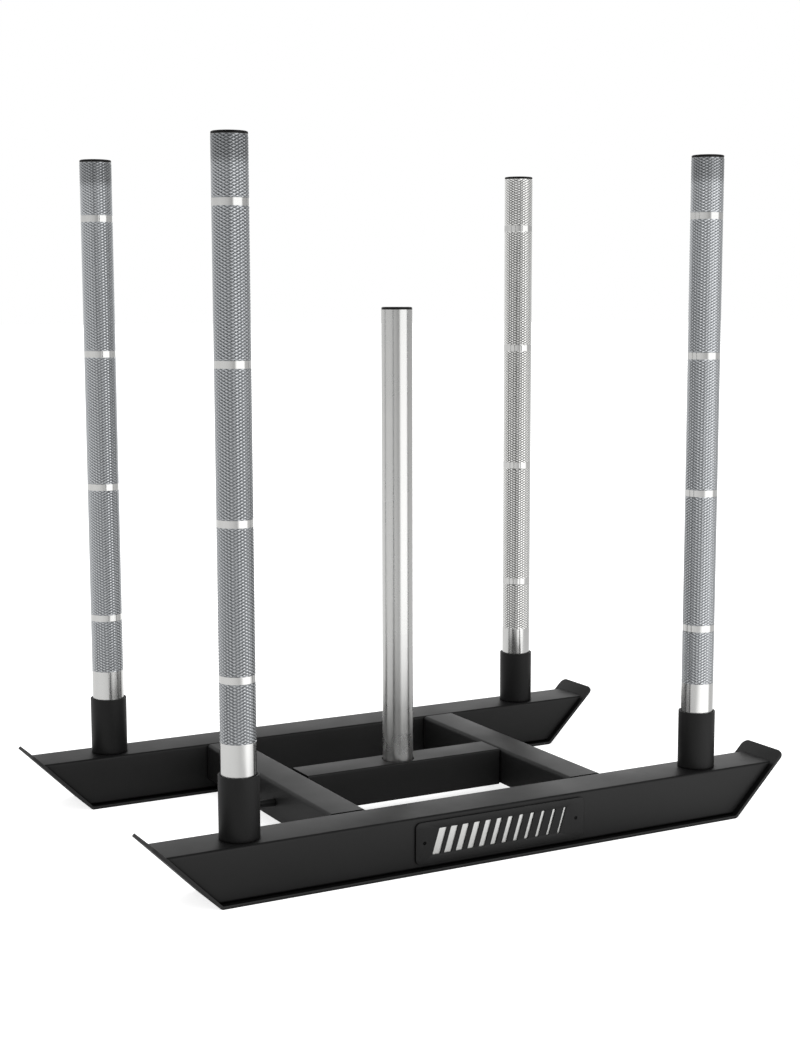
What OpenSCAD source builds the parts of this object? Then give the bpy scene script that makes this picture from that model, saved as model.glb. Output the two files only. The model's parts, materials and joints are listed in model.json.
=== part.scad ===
// Weight sled: two box-section runners on turned-up skid plates, tied by two cross
// members and a centre beam. Four push poles stand loose in sockets on the runners,
// and a smooth post for weight plates stands in the middle.
// The origin is on the floor under the middle of the sled. +Z is up, the sled travels
// along X with its tow eye towards -X, and its left side is towards -Y.

/* [Runners] */
// Distance between the middles of the two runners
track_w = 542; // [480:1:620]
// Width of a runner's box section
runner_w = 76; // [70:1:84]
// Height of a runner's box section
runner_h = 76; // [70:1:90]
// Wall thickness of a runner
runner_wall = 3; // [2:0.5:4]
// Outside radius along a runner's long edges
runner_edge_r = 4; // [2:0.5:4.5]

/* [Skid plates] */
// Length of the flat sole, measured to the sharp corners of its bends
sole_len = 876; // [860:1:960]
// Width of a skid plate
sole_w = 96; // [88:1:110]
// Thickness of a skid plate
sole_t = 5; // [4:0.5:8]
// Angle by which each end is bent up
nose_angle = 45; // [35:1:55]
// Length of a bent-up end along its slope, from the sharp corner
nose_len = 133; // [120:1:160]
// Radius of the two corners at the tip of an end
nose_corner_r = 12; // [4:1:24]
// Inside radius of the bends
bend_r = 3; // [2:0.5:6]

/* [Cross frame] */
// Distance between the middles of the two cross members
cross_pitch = 411; // [340:1:460]
// Width of a cross member
cross_w = 60; // [50:1:64]
// Height of a cross member
cross_h = 60; // [50:1:64]
// Outside radius along a cross member's long edges
cross_edge_r = 6; // [3:0.5:6]
// Width of the centre beam
beam_w = 60; // [59:1:70]
// Height of the centre beam
beam_h = 60; // [50:1:64]
// Outside radius along the centre beam's long edges
beam_edge_r = 3; // [2:0.5:3.5]
// Wall thickness of the cross members and the centre beam
frame_wall = 3; // [2:0.5:3.5]

/* [Weight post] */
// Diameter of the post that weight plates slide onto
post_d = 49; // [46:0.5:50]
// Wall thickness of the post's tube
post_wall = 3; // [2:0.5:4]
// Height of the post above the centre beam, without its plug
post_h = 718; // [300:1:800]
// Gap all round the post where it passes through the beam's top
post_hole_gap = 1.5; // [0.5:0.25:2]
// Depth by which the post's foot is turned down, all round
foot_turn = 0.5; // [0.25:0.25:1]
// Height of the spigot that the post's foot stands over
spigot_h = 32; // [20:1:40]
// Wall thickness of the spigot
spigot_wall = 3; // [2:0.5:4]
// Gap all round the spigot inside the post
spigot_gap = 0.4; // [0.3:0.1:0.6]
// Height of the post's plug above the tube
post_plug_h = 4; // [3:0.5:8]

/* [Push poles] */
// Distance from a pole's middle to the end of the flat sole
pole_inset = 47; // [20:1:140]
// Diameter of a push pole
pole_d = 50; // [42:0.5:52]
// Wall thickness of a pole's tube
pole_wall = 2.5; // [2:0.5:4]
// Length of a pole's tube
pole_len = 947; // [700:1:1100]
// Height of a socket
socket_h = 90; // [60:1:140]
// Wall thickness of a socket
socket_wall = 3; // [2:0.5:4]
// Gap all round a pole in its socket
socket_gap = 0.7; // [0.4:0.1:1]
// Bevel on a socket's rim, inside and out
rim_bevel = 0.8; // [0.4:0.1:0.9]
// Height of a pole's plug above the tube
pole_plug_h = 3; // [2:0.5:6]

/* [Plugs] */
// Length of a plug inside its tube
spigot_len = 24; // [16:1:40]
// Wall thickness of a plug
plug_wall = 2; // [1.5:0.5:3]
// Height of the ribs that grip the tube
rib_h = 1; // [0.5:0.25:1.25]
// Length of one rib along the tube
rib_len = 2; // [1:0.5:3]
// Number of ribs
rib_count = 3; // [1:1:4]
// Gap all round a plug's ribs inside the tube
plug_gap = 0.05; // [0.05:0.05:0.2]
// Distance from a tube's outside in to the rim of its plug
plug_inset = 0.4; // [0.2:0.1:1]
// Radius of a plug's top edge
plug_edge_r = 1.5; // [0.5:0.25:1.75]

/* [Tow eye] */
// Diameter of the round bar
eye_bar_d = 12; // [8:1:16]
// Distance between the middles of the two legs
eye_w = 80; // [60:1:120]
// Distance from the cross member out to the bar's far side
eye_reach = 60; // [45:1:90]
// Radius of the bends, to the middle of the bar
eye_bend_r = 20; // [16:1:26]

/* [Nameplates] */
// Length of a nameplate
plate_len = 287; // [270:1:320]
// Height of a nameplate
plate_h = 61; // [52:1:62]
// Thickness of a nameplate
plate_t = 2; // [1:0.5:3]
// Corner radius of a nameplate
plate_corner_r = 8; // [3:1:14]
// Place of a nameplate's middle along the sled
plate_x = 6.5; // [-20:0.5:20]
// Margin from a nameplate's edge in to its backing plate
backing_margin = 4; // [3:0.5:5]
// Thickness of a backing plate
backing_t = 1; // [0.5:0.5:2]
// Distance between the two rivets
rivet_pitch = 259; // [250:1:262]
// Diameter of a rivet's shank
rivet_d = 3; // [2:0.25:3.5]
// Diameter of a rivet's sunk head
rivet_head_d = 5; // [4.5:0.25:6]
// Diameter of the hole left in a rivet's head
dimple_d = 1.5; // [1:0.25:1.75]
// Depth of the hole left in a rivet's head
dimple_depth = 0.8; // [0.5:0.1:0.9]
// Diameter of a rivet's tail behind the wall
rivet_tail_d = 4.5; // [4:0.25:6]
// Length of a rivet's tail
rivet_tail_len = 2.5; // [1:0.5:4]
// Gap all round a rivet in the plates and the wall
rivet_gap = 0.05; // [0.05:0.05:0.2]
// Height of the row of slots
slot_h = 38; // [24:1:40]
// Number of slots
slot_count = 12; // [4:1:12]
// Distance from one slot to the next
slot_pitch = 19; // [18:0.5:19.5]
// Width of the widest slot
slot_w = 13; // [10:0.5:14]
// How much narrower each next slot is
slot_step = 0.75; // [0:0.05:0.8]
// Lean of the slots, sideways over their height
slot_lean = 12; // [0:1:16]

/* [Hidden] */

// Facets of a full circle
$fn = 96;
// Overlap that makes a cut run clear through
cut = 1;
// Smallest radius inside a box section's corners
inner_edge_r = 1;
// Room between a runner's trimmed corner and the inside of the bend below it
bend_gap = 0.3;
// Flat facets along one bend of a skid plate
bend_steps = 8;
// Length that takes a cutting shape past the whole sled
reach = 1200;

powder_coat = "#3a3a3a";
sole_black = "#262626";
chrome_grey = "#c8c8c4";
plug_black = "#141414";
brushed_steel = "#c4c4c2";

// Heights and places that several pieces share
deck_z = sole_t + runner_h;
run_y = track_w / 2;
cross_x = cross_pitch / 2;
pole_x = sole_len / 2 - pole_inset;
half_turn = nose_angle / 2;

// Where the bends of a skid plate begin, and where the upper face's sharp corner lies
bend_outer_r = bend_r + sole_t;
flat_end_x = sole_len / 2 - bend_outer_r * tan(half_turn);
inner_corner_x = sole_len / 2 - sole_t * tan(half_turn);
// A runner's lower corners are trimmed by this much to clear the inside of the bends
bend_relief = bend_r * tan(half_turn) + bend_gap;
runner_top_x = inner_corner_x + runner_h / tan(nose_angle);

// Lengths between the faces that the cross frame is welded to
cross_len = track_w - runner_w;
beam_len = cross_pitch - cross_w;

post_floor_z = deck_z - beam_h + frame_wall;
post_hole_r = post_d / 2 + post_hole_gap;
post_bore_r = post_d / 2 - post_wall;
post_top_z = deck_z + post_h;

socket_bore_r = pole_d / 2 + socket_gap;
socket_r = socket_bore_r + socket_wall;
pole_bore_r = pole_d / 2 - pole_wall;
pole_top_z = deck_z + pole_len;

side_y = run_y + runner_w / 2;
plate_z = sole_t + runner_h / 2;
plate_face = backing_t + plate_t;
rivet_hole_r = rivet_d / 2 + rivet_gap;
head_hole_r = rivet_head_d / 2 + rivet_gap;
rivet_head_h = (rivet_head_d - rivet_d) / 2;

// Flat rectangle with round corners, centred on the origin
module round_rect(w, h, r) {
    square([w - 2 * r, h], center = true);
    square([w, h - 2 * r], center = true);
    for (x = [-1, 1], y = [-1, 1])
        translate([x * (w / 2 - r), y * (h / 2 - r)])
            circle(r = r);
}

// Square tube lying along X, centred on the origin, with its long edges rounded
module box_tube(length, w, h, wall, edge_r) {
    rotate([90, 0, 90])
        difference() {
            linear_extrude(length, center = true)
                round_rect(w, h, edge_r);
            linear_extrude(length + 2 * cut, center = true)
                round_rect(w - 2 * wall, h - 2 * wall, max(edge_r - wall, inner_edge_r));
        }
}

// Everything on the left side is drawn at -Y; side 1 mirrors it across
module on_side(side) {
    if (side > 0)
        mirror([0, 1, 0])
            children();
    else
        children();
}

// A runner's side view: its slanted ends lie against the skid plate's bent-up ends
module runner_outline() {
    relief_x = bend_relief * cos(nose_angle);
    relief_z = bend_relief * sin(nose_angle);
    right = [
        [inner_corner_x - bend_relief, sole_t],
        [inner_corner_x + relief_x, sole_t + relief_z],
        [runner_top_x, deck_z]
    ];
    left = [for (i = [2:-1:0]) [-right[i][0], right[i][1]]];
    polygon(concat(right, left));
}

module runner(side) {
    color(powder_coat)
        on_side(side)
            difference() {
                intersection() {
                    translate([0, -run_y, sole_t + runner_h / 2])
                        box_tube(2 * runner_top_x + 2 * cut, runner_w, runner_h, runner_wall, runner_edge_r);
                    translate([0, -run_y, 0])
                        rotate([90, 0, 0])
                            linear_extrude(runner_w + 2 * cut, center = true)
                                runner_outline();
                }
                at_rivets()
                    translate([0, 0, -runner_wall - cut])
                        cylinder(r = rivet_hole_r, h = runner_wall + 2 * cut);
            }
}

// Points of a bend of radius r, from the flat sole up to the slope
function bend(r) =
    [for (i = [0:bend_steps])
        let (a = nose_angle * i / bend_steps - 90)
            [flat_end_x + r * cos(a), bend_outer_r + r * sin(a)]];

// Side view of a skid plate, a little longer than its ends are
module skid_outline() {
    end = sole_len / 2 + (nose_len + cut) * cos(nose_angle);
    end_z = (nose_len + cut) * sin(nose_angle);
    inner_end = [end - sole_t * sin(nose_angle), end_z + sole_t * cos(nose_angle)];
    outer = concat(bend(bend_outer_r), [[end, end_z]]);
    inner = concat(bend(bend_r), [inner_end]);
    last = len(outer) - 1;
    polygon(concat(
        outer,
        [for (i = [last:-1:0]) inner[i]],
        [for (p = inner) [-p[0], p[1]]],
        [for (i = [last:-1:0]) [-outer[i][0], outer[i][1]]]
    ));
}

// Face view of a bent-up end, square to its slope, and of all that lies behind it
module nose_shape() {
    translate([sole_len / 2, 0, 0])
        rotate([0, -nose_angle, 0])
            linear_extrude(2 * reach, center = true) {
                translate([-reach, -sole_w / 2])
                    square([reach + nose_len - nose_corner_r, sole_w]);
                translate([-reach, -sole_w / 2 + nose_corner_r])
                    square([reach + nose_len, sole_w - 2 * nose_corner_r]);
                for (y = [-1, 1])
                    translate([nose_len - nose_corner_r, y * (sole_w / 2 - nose_corner_r)])
                        circle(r = nose_corner_r);
            }
}

module skid(side) {
    color(sole_black)
        on_side(side)
            translate([0, -run_y, 0])
                intersection() {
                    rotate([90, 0, 0])
                        linear_extrude(sole_w + 2 * cut, center = true)
                            skid_outline();
                    nose_shape();
                    mirror([1, 0, 0])
                        nose_shape();
                }
}

module cross_member(x) {
    color(powder_coat)
        translate([x, 0, deck_z - cross_h / 2])
            rotate([0, 0, 90])
                box_tube(cross_len, cross_w, cross_h, frame_wall, cross_edge_r);
}

module centre_beam() {
    color(powder_coat)
        difference() {
            translate([0, 0, deck_z - beam_h / 2])
                box_tube(beam_len, beam_w, beam_h, frame_wall, beam_edge_r);
            translate([0, 0, deck_z - frame_wall - cut])
                cylinder(r = post_hole_r, h = frame_wall + 2 * cut);
        }
}

// Ring on the floor of the centre beam, inside the post's foot
module post_spigot() {
    outer_r = post_bore_r - spigot_gap;
    color(powder_coat)
        translate([0, 0, post_floor_z])
            difference() {
                cylinder(r = outer_r, h = spigot_h);
                translate([0, 0, -cut])
                    cylinder(r = outer_r - spigot_wall, h = spigot_h + 2 * cut);
            }
}

// The post's working length starts at the deck; its foot below is slightly thinner
module weight_post() {
    color(chrome_grey)
        difference() {
            union() {
                translate([0, 0, deck_z])
                    cylinder(r = post_d / 2, h = post_h);
                translate([0, 0, post_floor_z])
                    cylinder(r = post_d / 2 - foot_turn, h = deck_z - post_floor_z);
            }
            translate([0, 0, post_floor_z - cut])
                cylinder(r = post_bore_r, h = post_top_z - post_floor_z + 2 * cut);
        }
}

// Half the side view of a plug's cap: a disc with a round top edge
module cap_outline(cap_r, cap_h) {
    square([cap_r - plug_edge_r, cap_h]);
    square([cap_r, cap_h - plug_edge_r]);
    translate([cap_r - plug_edge_r, cap_h - plug_edge_r])
        intersection() {
            circle(r = plug_edge_r);
            square(plug_edge_r);
        }
}

// End plug of a tube: a cap over a ribbed, hollow spigot
module plug(tube_r, bore_r, cap_h, top_z) {
    grip_r = bore_r - plug_gap;
    core_r = grip_r - rib_h;
    rib_pitch = spigot_len / (rib_count + 1);
    color(plug_black)
        translate([0, 0, top_z])
            difference() {
                union() {
                    rotate_extrude()
                        cap_outline(tube_r - plug_inset, cap_h);
                    translate([0, 0, -spigot_len])
                        cylinder(r = core_r, h = spigot_len);
                    for (i = [1:rib_count])
                        translate([0, 0, -i * rib_pitch - rib_len / 2])
                            cylinder(r = grip_r, h = rib_len);
                }
                translate([0, 0, -spigot_len - cut])
                    cylinder(r = core_r - plug_wall, h = spigot_len + cut);
            }
}

module socket(x, side) {
    color(powder_coat)
        on_side(side)
            translate([x, -run_y, deck_z])
                rotate_extrude()
                    polygon([
                        [socket_bore_r, 0],
                        [socket_r, 0],
                        [socket_r, socket_h - rim_bevel],
                        [socket_r - rim_bevel, socket_h],
                        [socket_bore_r + rim_bevel, socket_h],
                        [socket_bore_r, socket_h - rim_bevel]
                    ]);
}

module pole(x, side) {
    color(chrome_grey)
        on_side(side)
            translate([x, -run_y, deck_z])
                difference() {
                    cylinder(r = pole_d / 2, h = pole_len);
                    translate([0, 0, -cut])
                        cylinder(r = pole_bore_r, h = pole_len + 2 * cut);
                }
}

module pole_plug(x, side) {
    on_side(side)
        translate([x, -run_y, 0])
            plug(pole_d / 2, pole_bore_r, pole_plug_h, pole_top_z);
}

// Bent bar with its two legs welded to the front cross member's outer face
module tow_eye() {
    bar_r = eye_bar_d / 2;
    bar_x = eye_reach - bar_r;
    color(powder_coat)
        translate([-cross_x - cross_w / 2, 0, deck_z - cross_h / 2])
            rotate([0, 0, 180]) {
                for (half = [0, 1])
                    mirror([0, half, 0]) {
                        translate([0, eye_w / 2, 0])
                            rotate([0, 90, 0])
                                cylinder(r = bar_r, h = bar_x - eye_bend_r);
                        translate([bar_x - eye_bend_r, eye_w / 2 - eye_bend_r, 0])
                            rotate_extrude(angle = 90)
                                translate([eye_bend_r, 0])
                                    circle(r = bar_r);
                    }
                translate([bar_x, 0, 0])
                    rotate([90, 0, 0])
                        cylinder(r = bar_r, h = eye_w - 2 * eye_bend_r, center = true);
            }
}

// Places things drawn along +Z at both rivets, pointing out of the runner's left side
module at_rivets() {
    for (x = [-1, 1])
        translate([plate_x + x * rivet_pitch / 2, -side_y, plate_z])
            rotate([90, 0, 0])
                children();
}

// Lays a flat outline drawn in XY upright against a runner's side, standing off by a gap
module against_side(stand_off, thickness) {
    translate([plate_x, -side_y - stand_off, plate_z])
        rotate([90, 0, 0])
            linear_extrude(thickness)
                children();
}

// Row of leaning slots that get narrower from one end to the other
module slots() {
    row_len = (slot_count - 1) * slot_pitch;
    for (i = [0:slot_count - 1]) {
        w = slot_w - i * slot_step;
        x = i * slot_pitch - row_len / 2;
        polygon([
            [x - w / 2 - slot_lean / 2, -slot_h / 2],
            [x + w / 2 - slot_lean / 2, -slot_h / 2],
            [x + w / 2 + slot_lean / 2, slot_h / 2],
            [x - w / 2 + slot_lean / 2, slot_h / 2]
        ]);
    }
}

module nameplate(side) {
    color(powder_coat)
        on_side(side)
            difference() {
                against_side(backing_t, plate_t)
                    difference() {
                        round_rect(plate_len, plate_h, plate_corner_r);
                        slots();
                    }
                at_rivets()
                    translate([0, 0, backing_t - cut])
                        cylinder(r = rivet_hole_r, h = plate_t + 2 * cut);
                at_rivets()
                    translate([0, 0, plate_face - rivet_head_h])
                        cylinder(r1 = rivet_hole_r, r2 = head_hole_r, h = rivet_head_h);
            }
}

module backing_plate(side) {
    corner_r = max(plate_corner_r - backing_margin, plate_corner_r / 4);
    color(brushed_steel)
        on_side(side)
            difference() {
                against_side(0, backing_t)
                    round_rect(plate_len - 2 * backing_margin, plate_h - 2 * backing_margin, corner_r);
                at_rivets()
                    translate([0, 0, -cut])
                        cylinder(r = rivet_hole_r, h = backing_t + 2 * cut);
            }
}

// Blind rivets: a sunk head with a small hole, a shank and a bulged tail inside the wall
module nameplate_rivets(side) {
    color(sole_black)
        on_side(side)
            at_rivets()
                rotate_extrude()
                    polygon([
                        [0, -runner_wall - rivet_tail_len],
                        [rivet_tail_d / 2, -runner_wall - rivet_tail_len],
                        [rivet_tail_d / 2, -runner_wall],
                        [rivet_d / 2, -runner_wall],
                        [rivet_d / 2, plate_face - rivet_head_h],
                        [rivet_head_d / 2, plate_face],
                        [dimple_d / 2, plate_face],
                        [dimple_d / 2, plate_face - dimple_depth],
                        [0, plate_face - dimple_depth]
                    ]);
}

runner(-1);  // left_runner
runner(1);  // right_runner
skid(-1);  // left_skid
skid(1);  // right_skid
cross_member(-cross_x);  // front_cross_member
cross_member(cross_x);  // rear_cross_member
centre_beam();
post_spigot();
socket(-pole_x, -1);  // front_left_socket
socket(-pole_x, 1);  // front_right_socket
socket(pole_x, -1);  // rear_left_socket
socket(pole_x, 1);  // rear_right_socket
pole(-pole_x, -1);  // front_left_pole
pole(-pole_x, 1);  // front_right_pole
pole(pole_x, -1);  // rear_left_pole
pole(pole_x, 1);  // rear_right_pole
pole_plug(-pole_x, -1);  // front_left_pole_plug
pole_plug(-pole_x, 1);  // front_right_pole_plug
pole_plug(pole_x, -1);  // rear_left_pole_plug
pole_plug(pole_x, 1);  // rear_right_pole_plug
weight_post();
plug(post_d / 2, post_bore_r, post_plug_h, post_top_z);  // weight_post_plug
tow_eye();
nameplate(-1);  // left_nameplate
nameplate(1);  // right_nameplate
backing_plate(-1);  // left_backing_plate
backing_plate(1);  // right_backing_plate
nameplate_rivets(-1);  // left_nameplate_rivets
nameplate_rivets(1);  // right_nameplate_rivets
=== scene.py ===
# %% [markdown]
# # Dressing a weight sled
#
# This lesson takes the plain solids of a weight sled and gives them the looks of the real
# one: powder-coated tube, bent skid plates, knurled chrome push poles and a smooth post.
# The solids are loaded first, as a fixed frame in metres. Every piece made below stands
# exactly where its solid stands and rides on the same moving body.

# %% Load the frame
import json
import math

import bmesh
import bpy
from mathutils import Matrix, Vector


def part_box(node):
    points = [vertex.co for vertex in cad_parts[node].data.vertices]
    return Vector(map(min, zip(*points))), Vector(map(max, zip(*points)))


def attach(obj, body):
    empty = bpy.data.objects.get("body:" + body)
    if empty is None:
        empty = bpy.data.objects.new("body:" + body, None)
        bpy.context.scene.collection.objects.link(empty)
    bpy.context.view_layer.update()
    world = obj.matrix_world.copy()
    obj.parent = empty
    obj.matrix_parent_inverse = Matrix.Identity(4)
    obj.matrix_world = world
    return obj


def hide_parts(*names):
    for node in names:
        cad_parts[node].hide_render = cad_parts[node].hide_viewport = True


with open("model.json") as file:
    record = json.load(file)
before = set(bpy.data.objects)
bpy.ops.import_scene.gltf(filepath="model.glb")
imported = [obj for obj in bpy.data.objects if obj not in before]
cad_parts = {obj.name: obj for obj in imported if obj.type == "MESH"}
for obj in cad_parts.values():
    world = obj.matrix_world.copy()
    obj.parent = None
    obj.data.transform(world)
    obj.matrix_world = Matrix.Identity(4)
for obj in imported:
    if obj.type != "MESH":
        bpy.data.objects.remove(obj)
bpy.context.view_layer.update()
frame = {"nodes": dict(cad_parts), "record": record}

# %% [markdown]
# ## Sizes
#
# Real sizes are easier to read in millimetres, so lengths are written as a number times
# `MM`.

# %% Units and places
MM = 0.001
CORNERS = ("front_left", "front_right", "rear_left", "rear_right")
SIDES = {"left": -1, "right": 1}
UP = Vector((0, 0, 1))


def middle(node):
    low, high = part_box(node)
    return (low + high) / 2


def size(node):
    low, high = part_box(node)
    return high - low


deck_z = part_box("left_runner")[1].z
print("deck height", round(deck_z / MM, 2), "mm")

# %% [markdown]
# ## Camera
#
# The photograph was taken from the front left with a long lens, a little above the frame,
# so that the near poles tower over the far ones. The place, the two angles and the focal
# length were solved from the straight edges of the sled; the angles are in radians. The
# lens is shifted a little, because the photograph was cropped off its middle.

# %% Camera
CAMERA_PLACE = Vector((-1303.3, -2448.4, 809.8)) * MM
CAMERA_DOWN = 0.1321
CAMERA_TURN = -0.5086
SENSOR_MM = 36
LENS_MM = 79.32
SHIFT_X, SHIFT_Y = -0.0392, 0.0208
cam_data = bpy.data.cameras.new("camera")
cam_data.sensor_fit = "HORIZONTAL"
cam_data.sensor_width = SENSOR_MM
cam_data.lens = LENS_MM
cam_data.shift_x = SHIFT_X
cam_data.shift_y = SHIFT_Y
camera = bpy.data.objects.new("camera", cam_data)
camera.location = CAMERA_PLACE
camera.rotation_euler = (math.pi / 2 - CAMERA_DOWN, 0, CAMERA_TURN)
bpy.context.scene.collection.objects.link(camera)
bpy.context.scene.camera = camera
bpy.context.scene.view_settings.view_transform = "Standard"
print("camera", round(CAMERA_PLACE.length, 2), "m from the sled's middle")

# %% [markdown]
# ## Colours and nodes
#
# Colours are written as the hex values that a paint chart or a picture shows. Blender
# mixes light in linear values, so one function turns the one into the other. A second
# function adds a node: it takes the node's settings by name, and a table of what goes into
# its sockets, where a value is set and another node's socket is linked.
#
# A noise node's values lie mostly between 0.3 and 0.7. Where a noise sets a roughness or
# picks out patches, a Map Range node stretches a part of that range to what is needed.

# %% Helpers for materials


def linear(hex_colour):
    values = [int(hex_colour[i:i + 2], 16) / 255 for i in (1, 3, 5)]
    light = [v / 12.92 if v <= 0.04045 else ((v + 0.055) / 1.055) ** 2.4 for v in values]
    return light + [1]


def add(tree, kind, sockets=None, **settings):
    made = tree.nodes.new("ShaderNode" + kind)
    for key, value in settings.items():
        setattr(made, key, value)
    for key, value in (sockets or {}).items():
        if isinstance(value, bpy.types.NodeSocket):
            tree.links.new(value, made.inputs[key])
        else:
            made.inputs[key].default_value = value
    return made


def new_material(name):
    material = bpy.data.materials.new(name)
    material.use_nodes = True
    material.node_tree.nodes.clear()
    return material, material.node_tree


# %% [markdown]
# ## Worn edges
#
# Coated steel loses a little of its coat along the edges first. A Bevel node gives the
# direction the surface would face if its edges were rounded. The dot product of that and
# the direction it really faces is 1 on a flat and falls off towards an edge. A noise breaks
# the line up, so that only some stretches of an edge are worn.

# %% Edge mask


def edge_mask(tree, coords, width, patch):
    rounded = add(tree, "Bevel", {"Radius": width}, samples=4).outputs["Normal"]
    flat = add(tree, "NewGeometry").outputs["True Normal"]
    alike = add(tree, "VectorMath", {0: rounded, 1: flat}, operation="DOT_PRODUCT").outputs["Value"]
    edge = add(tree, "MapRange", {
        "Value": alike, "From Min": 0.75, "From Max": 0.97, "To Min": 1.0, "To Max": 0.0,
    }).outputs["Result"]
    blots = add(tree, "TexNoise", {
        "Vector": coords, "Scale": 1 / patch, "Detail": 4,
    }).outputs["Fac"]
    patchy = add(tree, "MapRange", {
        "Value": blots, "From Min": 0.45, "From Max": 0.65,
    }).outputs["Result"]
    return add(tree, "Math", {0: edge, 1: patchy}, operation="MULTIPLY").outputs["Value"]


# %% [markdown]
# ## Powder coat
#
# The frame is steel tube under a charcoal powder coat: dry polyester powder, baked until it
# flows together. It flows out almost smooth but keeps a faint orange peel, and its pigment
# makes it satin rather than glossy. Light that grazes it is reflected far more than light
# that meets it head on, which is why the tops of the tubes look greyer than their sides.
# Real orange peel is about 1.5 mm from crest to crest; the picture shows about one pixel
# for that, so it is drawn a little coarser.
#
# In a corner between two pieces the coat is darker and less shiny, as painted shade. An
# Ambient Occlusion node tells how open a spot is within a few millimetres, and both the
# colour and the shine fade with it. The skids also get painted shade on the ledge that
# sticks out beside the runner: on what faces up, below the deck. The nameplate is a little
# glossier than the tubes, the sockets shine a little less, and the weld seams are painted
# nearly black, as the shade in the joint.

# %% Powder coat
CLOUD = 90 * MM
WEAR_WIDTH = 1.2 * MM
WEAR_PATCH = 25 * MM
WEAR_SHARE = 0.35
PEEL = 2.5 * MM
PEEL_DEPTH = 0.1 * MM
CREASE_SHADE_REACH = 5 * MM
LEDGE_SHADE_FADE = 4 * MM
WORN = "#5a5a58"
CHARCOAL = ("#121212", "#1a1a1a")


# Painted shade: the up-facing ledge of the skid below the deck, which the runner shades, is
# darkened.
def painted_ledge_shade(tree, coords):
    height = add(tree, "SeparateXYZ", {"Vector": coords}).outputs["Z"]
    below = add(tree, "MapRange", {
        "Value": height, "From Min": deck_z - LEDGE_SHADE_FADE, "From Max": deck_z,
        "To Min": 0.9, "To Max": 0.0,
    }).outputs["Result"]
    normal = add(tree, "NewGeometry").outputs["Normal"]
    upward = add(tree, "SeparateXYZ", {"Vector": normal}).outputs["Z"]
    ledge = add(tree, "MapRange", {
        "Value": upward, "From Min": 0.3, "From Max": 0.6,
    }).outputs["Result"]
    return add(tree, "Math", {0: below, 1: ledge}, operation="MULTIPLY").outputs["Value"]


def powder_coat(name, body, worn, roughness, specular, ledge_shade_colour=None):
    material, tree = new_material(name)
    coords = add(tree, "TexCoord").outputs["Object"]
    cloud = add(tree, "TexNoise", {
        "Vector": coords, "Scale": 1 / CLOUD, "Detail": 3,
    }).outputs["Fac"]
    light, dark = linear(body[1]), linear(body[0])
    tone = add(tree, "Mix", {0: cloud, 6: dark, 7: light}, data_type="RGBA").outputs[2]
    wear = edge_mask(tree, coords, WEAR_WIDTH, WEAR_PATCH)
    wear = add(tree, "Math", {0: wear, 1: WEAR_SHARE}, operation="MULTIPLY").outputs["Value"]
    colour = add(tree, "Mix", {0: wear, 6: tone, 7: linear(worn)}, data_type="RGBA").outputs[2]
    # Painted shade on the skid's ledge beside the runner.
    if ledge_shade_colour:
        ledge_shade_mask = painted_ledge_shade(tree, coords)
        dark = linear(ledge_shade_colour)
        colour = add(tree, "Mix", {0: ledge_shade_mask, 6: colour, 7: dark}, data_type="RGBA").outputs[2]
    # Painted shade: within a few millimetres of a corner the colour and the shine are darkened.
    openness_for_painted_shade = add(tree, "AmbientOcclusion", {"Distance": CREASE_SHADE_REACH}, samples=4).outputs["AO"]
    clear = add(tree, "MapRange", {
        "Value": openness_for_painted_shade, "From Min": 0.45, "From Max": 0.85, "To Min": 0.25, "To Max": 1.0,
    }).outputs["Result"]
    colour = add(tree, "VectorMath", {
        0: colour, "Scale": clear,
    }, operation="SCALE").outputs["Vector"]
    shine = add(tree, "Math", {0: clear, 1: specular}, operation="MULTIPLY").outputs["Value"]
    gloss = add(tree, "MapRange", {
        "Value": cloud, "From Min": 0.3, "From Max": 0.7,
        "To Min": roughness - 0.03, "To Max": roughness + 0.04,
    }).outputs["Result"]
    orange = add(tree, "TexNoise", {
        "Vector": coords, "Scale": 1 / PEEL, "Detail": 1,
    }).outputs["Fac"]
    bump = add(tree, "Bump", {"Height": orange, "Strength": 0.12, "Distance": PEEL_DEPTH})
    shader = add(tree, "BsdfPrincipled", {
        "Base Color": colour, "Roughness": gloss, "Normal": bump.outputs["Normal"],
        "Specular IOR Level": shine,
    })
    add(tree, "OutputMaterial", {"Surface": shader.outputs["BSDF"]})
    return material


frame_coat = powder_coat("powder_coated_steel_tube", CHARCOAL, WORN, 0.47, 0.24)
skid_coat = powder_coat(
    "powder_coated_skid_plate", ("#2c2c2c", "#343434"), WORN, 0.5, 0.12, ledge_shade_colour="#030303",
)
plate_coat = powder_coat("powder_coated_nameplate", CHARCOAL, WORN, 0.45, 0.24)
socket_coat = powder_coat("powder_coated_socket_tube", CHARCOAL, WORN, 0.47, 0.18)
# Painted shade: the weld seams' bevels are nearly black, standing for the shade in the joint.
seam_shade_coat = powder_coat("powder_coated_weld_seam_painted_shade", ("#040404", "#080808"), "#161616", 0.8, 0.03)
coats = (frame_coat, skid_coat, plate_coat, socket_coat, seam_shade_coat)
print("coats", [coat.name for coat in coats])

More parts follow.
